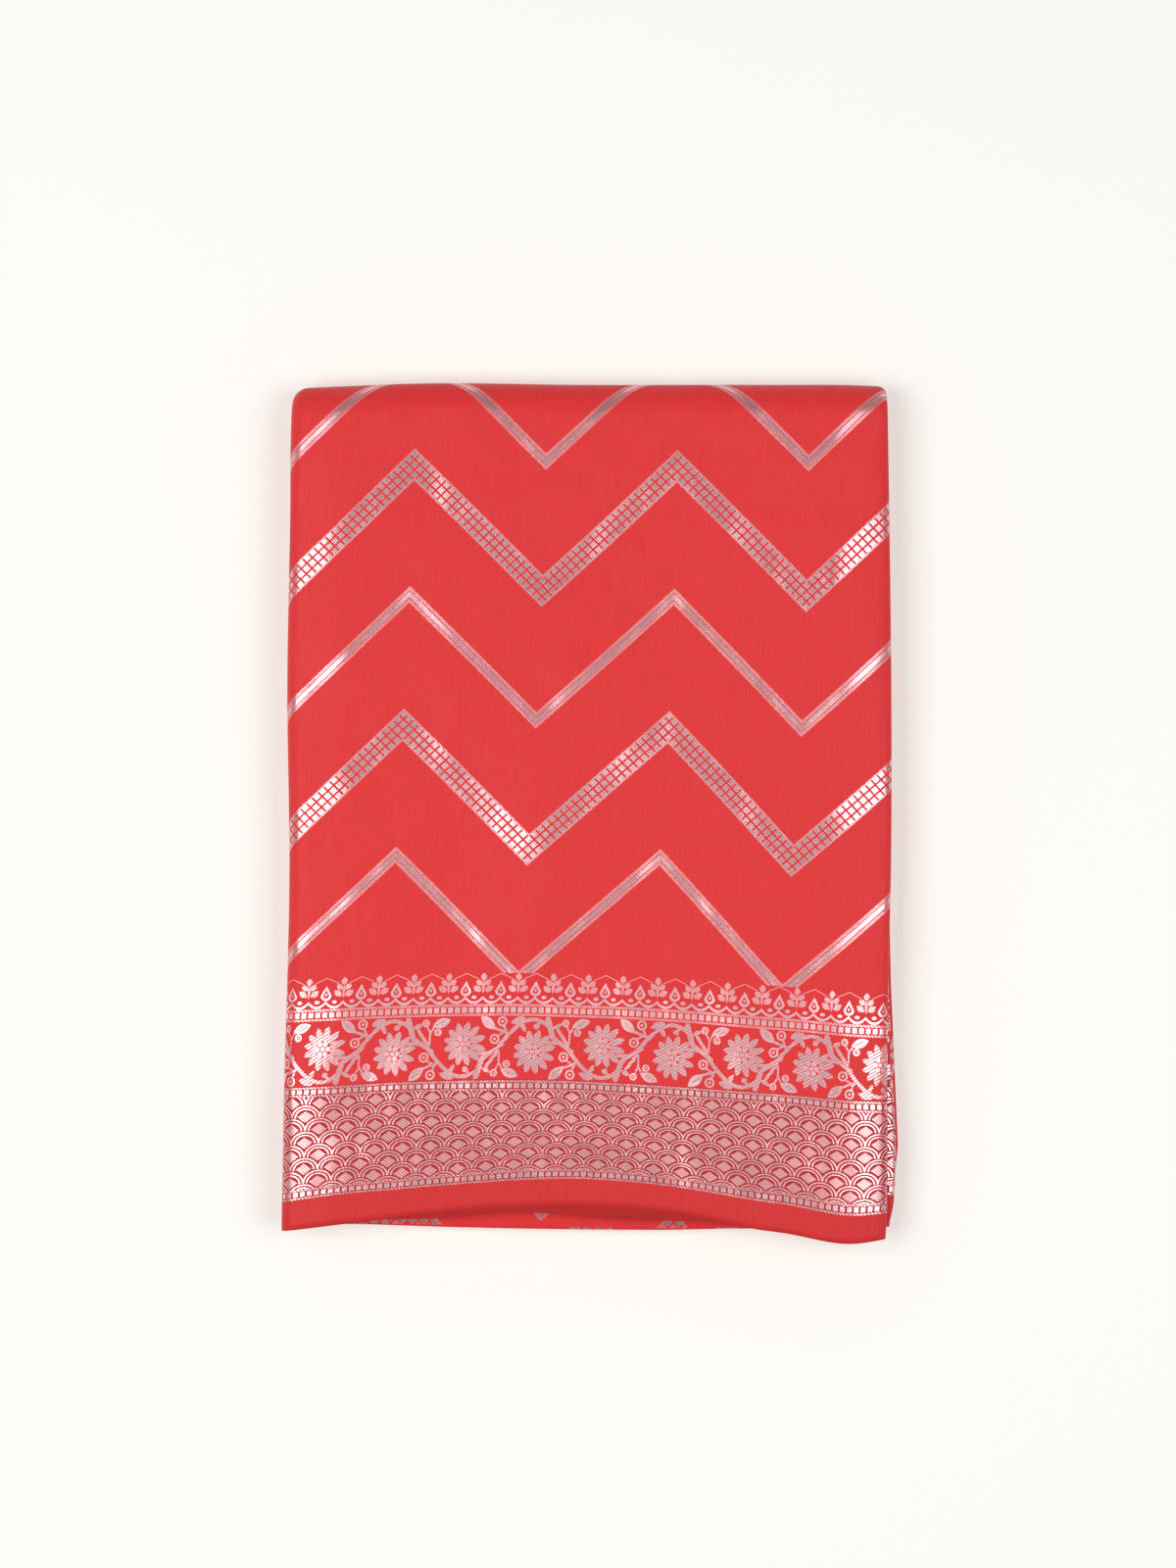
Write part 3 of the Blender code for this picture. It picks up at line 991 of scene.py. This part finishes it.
def garland_mask(u, v, pattern):
    """Garland along the border's inner edge: hung arcs with dots, drop buds, leaf clusters and a hairline.

    An arc hangs as a parabola, and a bud is a half circle with a cone above it.
    """
    half = 0.5 * pattern.flower_pitch * MM / BUDS_TO_FLOWER
    start = GARLAND_START * MM
    from_bud = (u - FLOWER_U).wave(half)
    up = v - start
    from_arc = from_bud - 0.5 * half
    sag = from_arc * from_arc * (GARLAND_SAG / (0.25 * half * half)) - GARLAND_SAG
    arc = (up - sag).size().within(GARLAND_ARC_HALF)
    dot_up = (up - GARLAND_DOT["up"]) * (1.0 / GARLAND_DOT["half_height"])
    dot = hypotenuse(from_arc * (1.0 / GARLAND_DOT["half_width"]), dot_up).within(1.0, 0.15)
    bud_up = up - GARLAND_BUD["up"]
    taper = bud_up.made("MAXIMUM", 0.0) * GARLAND_BUD["taper"]
    bud = hypotenuse(from_bud, bud_up.made("MINIMUM", 0.0)) + taper
    bud = band(bud, GARLAND_BUD["inner"], GARLAND_BUD["outer"])
    kernel = from_bud * GARLAND_KERNEL["slimness"] + (bud_up - GARLAND_KERNEL["up"]).size()
    kernel = kernel.within(GARLAND_KERNEL["half_height"])
    from_leaf = from_bud * -1.0 + half
    cluster = most_of(
        leaf(from_leaf, up, (aside, y), half_length, half_width, degrees).within(1.0, soft)
        for aside, y, half_length, half_width, degrees, soft in zip(*GARLAND_LEAVES.values())
    )
    cluster = cluster * twill(u, v, **GARLAND_TWILL).between(*GARLAND_SHOWS)
    hairline = (up - from_bud.scaled(HAIRLINE["slope"], HAIRLINE["up"])).size().within(HAIRLINE["half"])
    hairline = hairline * from_bud.within(HAIRLINE["reach"]) * HAIRLINE_SHOWS
    return most_of([arc, dot, bud, kernel, cluster, hairline])


def vine_mask(u, v, pattern):
    """Zari of the border's inner part: a flowering vine, a ladder and a garland.

    The vine's stem is a cosine of two flower pitches. Each cell is the one before it turned over, so
    the band coordinate changes its sign from cell to cell.
    """
    pitch = pattern.flower_pitch * MM
    middle = 0.5 * (MIDDLE_LADDER_END + VINE_END) * MM
    from_start = u - FLOWER_U
    up = v - middle
    hatch = twill(u, v, **VINE_TWILL)
    # Stem: distance from the cosine, corrected for its slope
    phase = from_start * (math.pi / pitch)
    slope = phase.made("SINE") * (VINE_SWING * math.pi / pitch)
    lean = (slope * slope + 1.0).made("SQRT")
    stem = (up + phase.made("COSINE") * VINE_SWING).size().made("DIVIDE", lean)
    # Flowers, each cell centred on one
    cell = (from_start * (1.0 / pitch) + 0.5).made("FLOOR")
    sign = cell.made("PINGPONG", 1.0).between(1.0, -1.0)
    petals, dots = flower(from_start - cell * pitch, up * sign - FLOWER_UP)
    # Leaves, rings and branches, each cell centred on a crossing of the stem
    cell = (from_start * (1.0 / pitch)).made("FLOOR")
    sign = cell.made("PINGPONG", 1.0).between(1.0, -1.0)
    x = from_start - (cell + 0.5) * pitch
    y = up * sign
    stem = stem.within(VINE_STEM_HALF) * (x - VINE_STEM_GAP["middle"]).size().beyond(VINE_STEM_GAP["half"])
    mask = stem.most(petals)
    for x0, y0, x1, y1, half_width in zip(*VINE_STROKES.values()):
        mask = mask.most(stroke(x, y, (x0, y0), (x1, y1)).within(half_width))
    rims = []
    for x0, y0, half_length, half_width, degrees, outlined in zip(*VINE_LEAVES.values()):
        shape = leaf(x, y, (x0, y0), half_length, half_width, degrees)
        mask = mask.most(shape.within(1.0, LEAF_SOFT))
        if outlined:
            rims.append(band(shape, *LEAF_RIM, LEAF_SOFT))
    shade = mask * hatch.between(1.0, 0.0)
    mask = most_of([mask * hatch.between(*VINE_SHOWS), *rims, dots])
    for x0, y0, radius in zip(*VINE_RINGS.values()):
        away = hypotenuse(x - x0, y - y0)
        mask = mask * away.beyond(radius - RING_CUT)
        mask = mask.most(band(away, radius - RING_LINE, radius))
        mask = mask.most(away.within(RING_DOT * radius) * RING_DOT_SHOWS)
    mask = mask * band(v, MIDDLE_LADDER_END * MM + BAND_INSET, VINE_END * MM - BAND_INSET)
    mask = mask.most(ladder(u, v, VINE_END * MM, pitch / BLOCKS_TO_FLOWER))
    return mask.most(garland_mask(u, v, pattern)), shade


def plain_mask(u, v, pattern):
    """No zari: the wrong side of the cloth."""
    return None, None


def cloth_noise(tree, u, v, turns, detail):
    """Soft noise over the cloth, which turns so often to the millimetre along u and v."""
    place = tree.nodes.new("ShaderNodeCombineXYZ")
    tree.links.new((u * turns[0]).socket, place.inputs[0])
    tree.links.new((v * turns[1]).socket, place.inputs[1])
    noise = tree.nodes.new("ShaderNodeTexNoise")
    noise.inputs["Scale"].default_value = 1.0
    noise.inputs["Detail"].default_value = detail
    tree.links.new(place.outputs[0], noise.inputs["Vector"])
    return Field(tree, noise.outputs["Fac"])


def mixed(tree, share, first, second):
    """Colour between two colours, by a share. Each colour is a socket or a plain red, green and blue."""
    mix = tree.nodes.new("ShaderNodeMix")
    mix.data_type = "RGBA"
    tree.links.new(share.socket, mix.inputs["Factor"])
    for slot, colour in (("A", first), ("B", second)):
        if isinstance(colour, bpy.types.NodeSocket):
            tree.links.new(colour, mix.inputs[slot])
        else:
            mix.inputs[slot].default_value = tuple(min(1.0, part) for part in colour) + (1.0,)
    return mix.outputs["Result"]


def silk_material(name, colour, zari, metal, pattern, mask_of):
    """Satin silk with slubs along its width, and zari thread where the mask says.

    The zari is a rough metal. It lies a little above the silk, and its threads give it a fine ripple.
    """
    material = bpy.data.materials.new(name)
    material.use_nodes = True
    tree = material.node_tree
    shader = tree.nodes["Principled BSDF"]
    shader.inputs["Sheen Weight"].default_value = SILK_SHEEN
    shader.inputs["Sheen Roughness"].default_value = SILK_SHEEN_ROUGHNESS
    shader.inputs["Specular IOR Level"].default_value = SILK_SPECULAR
    u, v = woven_map(tree)
    mask, shade = mask_of(u, v, pattern)

    slub = cloth_noise(tree, u, v, SLUB_TURNS, SLUB_DETAIL)
    pucker = cloth_noise(tree, u, v, PUCKER_TURNS, PUCKER_DETAIL)

    tone = slub.between(*SLUB_TONE)
    if shade is not None:
        tone = tone - shade * SHADE_TONE
    base = mixed(tree, tone, [DARK_SILK * part for part in colour], [LIGHT_SILK * part for part in colour])

    thread = (u * RIPPLE_TURNS).made("SINE") * (v * RIPPLE_TURNS).made("SINE")
    relief = slub * SLUB_HEIGHT + pucker * PUCKER_HEIGHT
    if mask is not None:
        base = mixed(tree, mask * ZARI_COVER, base, zari)
        tree.links.new((mask * metal).socket, shader.inputs["Metallic"])
        roughness = mask.between(SILK_ROUGHNESS, ZARI_ROUGHNESS)
        tree.links.new(roughness.socket, shader.inputs["Roughness"])
        relief = relief + mask * thread.scaled(ZARI_RIPPLE, ZARI_HEIGHT)
    else:
        shader.inputs["Roughness"].default_value = BACK_ROUGHNESS
    tree.links.new(base, shader.inputs["Base Color"])
    bump = tree.nodes.new("ShaderNodeBump")
    bump.inputs["Strength"].default_value = 1.0
    bump.inputs["Distance"].default_value = 1.0 / MM
    tree.links.new(relief.socket, bump.inputs["Height"])
    tree.links.new(bump.outputs["Normal"], shader.inputs["Normal"])
    return material


def sheet_object(name, points, quads, materials):
    """Link a mesh of quads, and return its object."""
    mesh = bpy.data.meshes.new(name)
    mesh.vertices.add(len(points))
    mesh.vertices.foreach_set("co", points.ravel())
    mesh.loops.add(quads.size)
    mesh.loops.foreach_set("vertex_index", quads.ravel())
    mesh.polygons.add(len(quads))
    mesh.polygons.foreach_set("loop_start", np.arange(0, quads.size, 4))
    for material in materials:
        mesh.materials.append(material)
    mesh.update(calc_edges=True)
    mesh.shade_smooth()
    item = bpy.data.objects.new(name, mesh)
    bpy.context.scene.collection.objects.link(item)
    return item


class SARI_OT_cloth(Operator):
    """Build the folded cloth and weave its pattern"""

    bl_idname = "sari.cloth"
    bl_label = "Folded cloth"

    def execute(self, context):
        cloth = context.scene.sari_cloth
        pattern = context.scene.sari_pattern
        folding = Folding(cloth)
        outer, stations, woven = folded_face(0.0, folding, cloth.stack_height)
        inner, _, _ = folded_face(folding.thickness, folding, cloth.stack_height)
        rows, columns = woven.shape
        points = np.concatenate([outer.reshape(-1, 3), inner.reshape(-1, 3)])
        if not np.isfinite(points).all():
            raise RuntimeError("The cloth can't be folded at these settings")
        points = self.fitted(points)
        outer_quads, inner_quads, rim_quads = sheet_faces(rows, columns)
        quads = np.concatenate([outer_quads, inner_quads, rim_quads])
        red = cloth.silk_colour
        border_zari = cloth.border_zari_colour
        materials = [
            silk_material("zigzag_silk", red, cloth.zari_colour, ZARI_METAL, pattern, zigzag_mask),
            silk_material("vine_silk", red, border_zari, VINE_METAL, pattern, vine_mask),
            silk_material("scale_silk", red, border_zari, ZARI_METAL, pattern, scales_mask),
            silk_material("back_silk", cloth.silk_back_colour, cloth.zari_colour, 0.0, pattern, plain_mask),
        ]
        item = sheet_object("folded_cloth", points, quads, materials)
        self.weave(item.data, woven_length(stations, folding), woven, quads, len(outer_quads))
        places = bake_places(stations, woven, quads, len(outer_quads), folding)
        item.data.uv_layers.new(name="OFBake").uv.foreach_set("vector", places.ravel().astype(np.float32))
        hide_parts(NODE)
        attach(item, "root")
        length = float(stations[-1] - stations[0])
        width = 2.0 * float(folding.panel_length * 2.0 + folding.roll_reach) + float(folding.pair_reach)
        return {"FINISHED"}

    @staticmethod
    def fitted(points):
        """Move the points to the place of the node that the cloth replaces."""
        low = points.min(axis=0)
        high = points.max(axis=0)
        middle = (low + high) / 2.0
        middle[2] = low[2]
        place = (NODE_LOW + NODE_HIGH) / 2.0
        place[2] = NODE_LOW[2]
        return points - middle + place

    @staticmethod
    def weave(mesh, length, woven, quads, outer_count):
        """Lay the cloth's map and materials: metres along its length and from its selvedge."""
        rows, columns = woven.shape
        count = rows * columns
        u = (length + smooth_table(DRIFT, "slip", woven)).ravel()
        v = woven.ravel()
        corners = quads.ravel() % count
        layer = mesh.uv_layers.new(name="Weave")
        layer.uv.foreach_set("vector", np.stack([u[corners], v[corners]], axis=1).ravel().astype(np.float32))
        middles = v[quads % count].mean(axis=1)
        index = np.where(middles > BORDER_END, 0, np.where(middles > MIDDLE_LADDER_END, 1, 2))
        index[outer_count:] = 3
        mesh.polygons.foreach_set("material_index", index.astype(np.int32))
        mesh.update()


class SARI_OT_stage(Operator):
    """Set the floor, the lights and the camera"""

    bl_idname = "sari.stage"
    bl_label = "Stage"

    def execute(self, context):
        stage = context.scene.sari_stage
        self.floor(stage)
        self.lights(context, stage)
        self.camera(context)
        return {"FINISHED"}

    @staticmethod
    def floor(stage):
        """A wide plane just under the cloth. It glows a little, so the cloth's shadow on it is faint."""
        z = NODE_LOW[2] - FLOOR_BELOW
        corners = ((-1.0, -1.0), (1.0, -1.0), (1.0, 1.0), (-1.0, 1.0))
        points = np.array([(x * FLOOR_HALF, y * FLOOR_HALF, z) for x, y in corners])
        quads = np.array([(0, 1, 2, 3)])
        material = bpy.data.materials.new("floor_paper")
        material.use_nodes = True
        shader = material.node_tree.nodes["Principled BSDF"]
        shader.inputs["Base Color"].default_value = tuple(stage.floor_colour) + (1.0,)
        shader.inputs["Emission Color"].default_value = tuple(stage.floor_glow) + (1.0,)
        shader.inputs["Emission Strength"].default_value = 1.0
        shader.inputs["Roughness"].default_value = FLOOR_ROUGHNESS
        shader.inputs["Specular IOR Level"].default_value = FLOOR_SPECULAR
        sheet_object("floor", points, quads, [material])

    @staticmethod
    def lights(context, stage):
        """A room light that is brightest low on the walls, and a softbox above on either side."""
        world = bpy.data.worlds.new("room")
        world.use_nodes = True
        tree = world.node_tree
        background = tree.nodes["Background"]
        background.inputs["Color"].default_value = ROOM_COLOUR
        direction = tree.nodes.new("ShaderNodeTexCoord")
        split = tree.nodes.new("ShaderNodeSeparateXYZ")
        tree.links.new(direction.outputs["Generated"], split.inputs[0])
        height = Field(tree, split.outputs[2]).size()
        strength = height.made("POWER", ROOM_TURN).between(stage.wall_light, stage.room_light)
        strength = strength * height.made("MULTIPLY_ADD", HORIZON_RISE, HORIZON_LIGHT, clamp=True)
        tree.links.new(strength.socket, background.inputs["Strength"])
        context.scene.world = world
        for side, (name, share) in zip((-1.0, 1.0), SOFTBOX_SHARES.items()):
            light = bpy.data.lights.new("softbox_" + name, "AREA")
            light.shape = "SQUARE"
            light.size = SOFTBOX_SIDE
            light.energy = stage.softbox_power * share
            lamp = bpy.data.objects.new("softbox_" + name, light)
            aside, y, height = SOFTBOX_PLACE.values()
            lamp.location = (side * aside, y, height)
            lamp.rotation_euler = (0.0, side * SOFTBOX_TILT, 0.0)
            context.scene.collection.objects.link(lamp)

    @staticmethod
    def camera(context):
        """A camera straight above, framed as the photograph is."""
        data = bpy.data.cameras.new("camera")
        camera = bpy.data.objects.new("camera", data)
        pixel = NODE_SIZE[1] / PHOTO_CLOTH_HEIGHT
        data.sensor_fit = "VERTICAL"
        data.sensor_height = CAMERA_SENSOR
        data.lens = CAMERA_SENSOR * (CAMERA_HEIGHT - NODE_SIZE[2]) / (PHOTO_HEIGHT * pixel)
        x, y = (NODE_LOW[:2] + NODE_HIGH[:2]) / 2.0
        camera.location = (x - PHOTO_CLOTH_ASIDE * pixel, y + PHOTO_CLOTH_BELOW * pixel, CAMERA_HEIGHT)
        context.scene.collection.objects.link(camera)
        context.scene.camera = camera
        context.scene.view_settings.view_transform = "Standard"


class SARI_PT_panel(Panel):
    """Settings and steps of the folded sari"""

    bl_idname = "SARI_PT_panel"
    bl_label = "Folded sari"
    bl_space_type = "VIEW_3D"
    bl_region_type = "UI"
    bl_category = "Sari"

    def draw(self, context):
        for settings in (context.scene.sari_cloth, context.scene.sari_pattern, context.scene.sari_stage):
            box = self.layout.box()
            for name in settings.__annotations__:
                box.prop(settings, name)
        self.layout.operator("sari.cloth")
        self.layout.operator("sari.stage")


CLASSES = (
    SariClothSettings,
    SariPatternSettings,
    SariStageSettings,
    SARI_OT_cloth,
    SARI_OT_stage,
    SARI_PT_panel,
)
SETTINGS = {
    "sari_cloth": SariClothSettings,
    "sari_pattern": SariPatternSettings,
    "sari_stage": SariStageSettings,
}


def register():
    for item in CLASSES:
        bpy.utils.register_class(item)
    for name, settings in SETTINGS.items():
        setattr(bpy.types.Scene, name, PointerProperty(type=settings))


def unregister():
    for name in SETTINGS:
        delattr(bpy.types.Scene, name)
    for item in reversed(CLASSES):
        bpy.utils.unregister_class(item)


def main():
    """Build everything in order."""
    register()
    bpy.ops.sari.cloth()
    bpy.ops.sari.stage()


if __name__ == "__main__":
    main()
